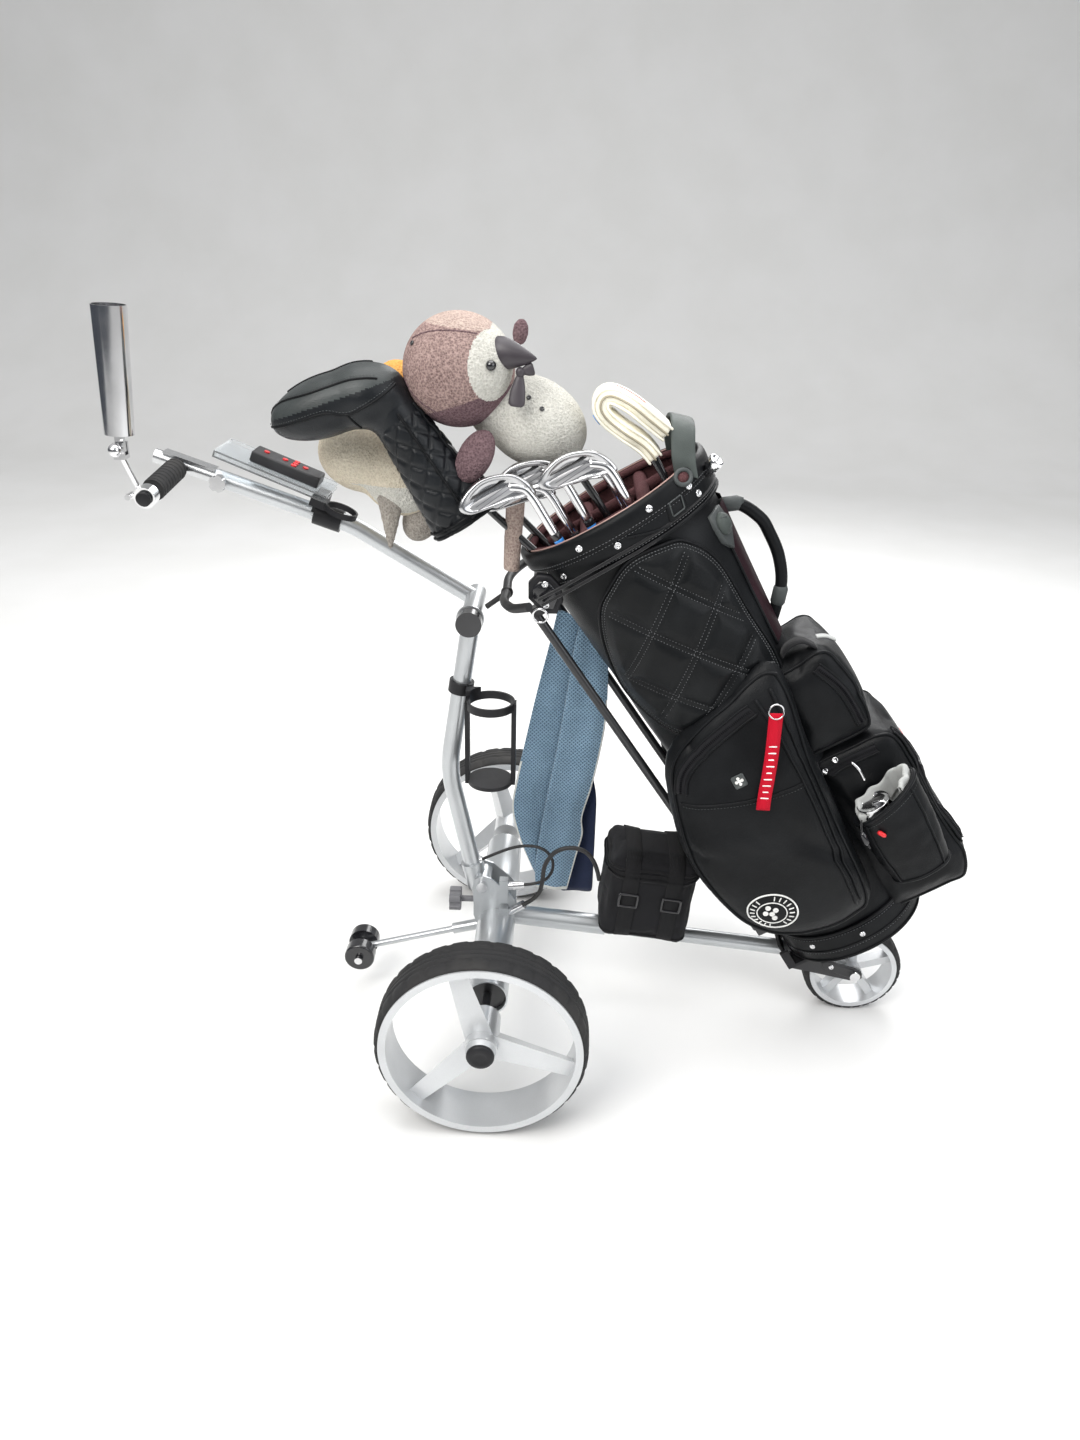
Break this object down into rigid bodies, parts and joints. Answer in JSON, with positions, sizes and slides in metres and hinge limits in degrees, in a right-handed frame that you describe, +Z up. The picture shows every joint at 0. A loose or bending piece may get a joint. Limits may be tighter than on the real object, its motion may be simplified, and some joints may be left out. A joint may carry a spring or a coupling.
{
  "type": "golf bag on push cart",
  "caption": "Stand bag full of golf clubs strapped on a folding three-wheeled electric push cart, with an umbrella holder, console tray, bottle cage and towel.",
  "frame": {"origin": "on the ground under the centre of the object's box", "axes": "+X forwards to the small front wheel, -Y to the side with the grip, +Z up"},
  "size_m": [1.2311, 0.6792, 1.11],
  "materials": {
    "silver_paint": "fine silver lacquer, satin",
    "wheel_silver": "moulded, pearl silver lacquer",
    "tyre_rubber": "matt black with a light tread",
    "black_plastic": "moulded, fine grain",
    "grey_plastic": "moulded, fine grain",
    "steel": "plated, bright",
    "dark_motor": "black lacquer, satin",
    "slider_tube": "brushed, satin",
    "foam": "closed-cell foam, matt",
    "acrylic": "clear acrylic, polished edges",
    "remote_black": "moulded, fine grain",
    "button_red": "moulded, semi-gloss",
    "bag_leather": "smooth coated leather, soft sheen",
    "nylon": "woven black nylon",
    "battery_case": "moulded",
    "cable_black": "smooth, semi-matt",
    "leg_black": "black anodised, satin",
    "club_steel": "satin plated heads, steel shafts",
    "cover_leather": "black pebbled leather",
    "plush_brown": "short plush pile, purple-brown and pale grey",
    "plush_beige": "short plush pile, beige",
    "cover_white": "white coated leather",
    "towel_blue": "blue waffle weave with a white hem",
    "ribbon_red": "red woven ribbon"
  },
  "bodies": {
    "cart": {"axle_housing": "silver_paint", "lower_frame_tube": "silver_paint", "extension_tube": "silver_paint", "frame_bracket": "silver_paint", "mast_foot": "silver_paint", "mast_tube": "silver_paint", "hinge_barrel": "silver_paint", "anti_tip_rod": "silver_paint", "bottle_cage": "black_plastic", "bag_base": "black_plastic", "bag_cuff": "black_plastic", "base_cradle": "black_plastic", "front_fork": "black_plastic", "frame_bolts": "steel", "wheel_axles": "steel", "motor_connectors": "steel", "drive_motors": "dark_motor", "bag_shell": "bag_leather", "side_pockets": "bag_leather", "front_pockets": "bag_leather", "bag_handles": "bag_leather", "battery_bag": "nylon", "elastic_strap": "nylon", "battery_pack": "battery_case", "motor_cable_short": "cable_black", "motor_cable_long": "cable_black", "bag_cradle_bar": "cable_black", "stand_legs": "leg_black", "golf_clubs": "club_steel", "driver_cover": "cover_leather", "penguin_cover": "plush_brown", "beige_cover": "plush_beige", "putter_cover": "cover_white", "towel": "towel_blue"},
    "near_wheel": {"near_rim": "wheel_silver", "near_tyre": "tyre_rubber"},
    "far_wheel": {"far_rim": "wheel_silver", "far_tyre": "tyre_rubber"},
    "front_wheel": {"front_rim": "wheel_silver", "front_tyre": "tyre_rubber"},
    "near_roller": {"anti_tip_wheel_near": "tyre_rubber"},
    "far_roller": {"anti_tip_wheel_far": "tyre_rubber"},
    "frame_knob": {"frame_lock_knob": "grey_plastic"},
    "handle_cap": {"handle_lock_knob": "black_plastic"},
    "handle": {"handle_tube": "silver_paint", "console_clamp": "black_plastic", "console_tray": "acrylic", "remote_body": "remote_black"},
    "thumbscrew": {"extension_thumbscrew": "steel"},
    "extension": {"handle_extension": "slider_tube", "grip": "foam", "umbrella_clamp": "black_plastic"},
    "umbrella_cup": {"umbrella_tube": "steel"},
    "ribbon_tag": {"zipper_tag": "ribbon_red"},
    "key_single": {"remote_button_single": "button_red"},
    "key_left": {"remote_button_left": "button_red"},
    "key_centre": {"remote_button_centre": "button_red"},
    "key_right": {"remote_button_right": "button_red"},
    "key_far": {"remote_button_far": "button_red"},
    "key_near": {"remote_button_near": "button_red"}
  },
  "joints": [
    {"name": "near_wheel_spin", "type": "hinge", "parent": "cart", "child": "near_wheel", "pos_m": [-0.118, -0.2996, 0.1525], "axis": [0, 1, 0], "continuous": true},
    {"name": "far_wheel_spin", "type": "hinge", "parent": "cart", "child": "far_wheel", "pos_m": [-0.118, 0.2996, 0.1525], "axis": [0, 1, 0], "continuous": true},
    {"name": "front_wheel_spin", "type": "hinge", "parent": "cart", "child": "front_wheel", "pos_m": [0.4812, 0, 0.0809], "axis": [0, 1, 0], "continuous": true},
    {"name": "near_roller_spin", "type": "hinge", "parent": "cart", "child": "near_roller", "pos_m": [-0.348, -0.022, 0.077], "axis": [0, 1, 0], "continuous": true},
    {"name": "far_roller_spin", "type": "hinge", "parent": "cart", "child": "far_roller", "pos_m": [-0.348, 0.022, 0.077], "axis": [0, 1, 0], "continuous": true},
    {"name": "frame_knob_turn", "type": "hinge", "parent": "cart", "child": "frame_knob", "pos_m": [-0.187, 0, 0.184], "axis": [1, 0, 0], "continuous": true},
    {"name": "handle_cap_turn", "type": "hinge", "parent": "cart", "child": "handle_cap", "pos_m": [-0.155, -0.068, 0.697], "axis": [0, 1, 0], "continuous": true},
    {"name": "handle_fold", "type": "hinge", "parent": "cart", "child": "handle", "pos_m": [-0.155, 0.039, 0.697], "axis": [0, -1, 0], "range_deg": [0, 90]},
    {"name": "handle_extension_slide", "type": "slide", "parent": "handle", "child": "extension", "axis": [-0.9483, 0, 0.3175], "range_m": [0, 0.08]},
    {"name": "thumbscrew_turn", "type": "hinge", "parent": "handle", "child": "thumbscrew", "pos_m": [-0.517, 0.035, 0.86443], "axis": [0, 1, 0], "continuous": true},
    {"name": "umbrella_tilt", "type": "hinge", "parent": "extension", "child": "umbrella_cup", "pos_m": [-0.598, -0.112, 0.936], "axis": [0, 1, 0], "range_deg": [-30, 30]},
    {"name": "key_single_press", "type": "slide", "parent": "handle", "child": "key_single", "axis": [-0.3698, 0, -0.9291], "range_m": [0, 0.001], "stiffness_N_per_m": 500, "springref_m": -0.0006},
    {"name": "key_left_press", "type": "slide", "parent": "handle", "child": "key_left", "axis": [-0.3698, 0, -0.9291], "range_m": [0, 0.001], "stiffness_N_per_m": 500, "springref_m": -0.0006},
    {"name": "key_centre_press", "type": "slide", "parent": "handle", "child": "key_centre", "axis": [-0.3698, 0, -0.9291], "range_m": [0, 0.001], "stiffness_N_per_m": 500, "springref_m": -0.0006},
    {"name": "key_right_press", "type": "slide", "parent": "handle", "child": "key_right", "axis": [-0.3698, 0, -0.9291], "range_m": [0, 0.001], "stiffness_N_per_m": 500, "springref_m": -0.0006},
    {"name": "key_far_press", "type": "slide", "parent": "handle", "child": "key_far", "axis": [-0.3698, 0, -0.9291], "range_m": [0, 0.001], "stiffness_N_per_m": 500, "springref_m": -0.0006},
    {"name": "key_near_press", "type": "slide", "parent": "handle", "child": "key_near", "axis": [-0.3698, 0, -0.9291], "range_m": [0, 0.001], "stiffness_N_per_m": 500, "springref_m": -0.0006},
    {"name": "ribbon_tag_swing", "type": "hinge", "parent": "cart", "child": "ribbon_tag", "pos_m": [0.26768, -0.1707, 0.6193], "axis": [0, 1, 0], "range_deg": [-25, 25]}
  ]
}
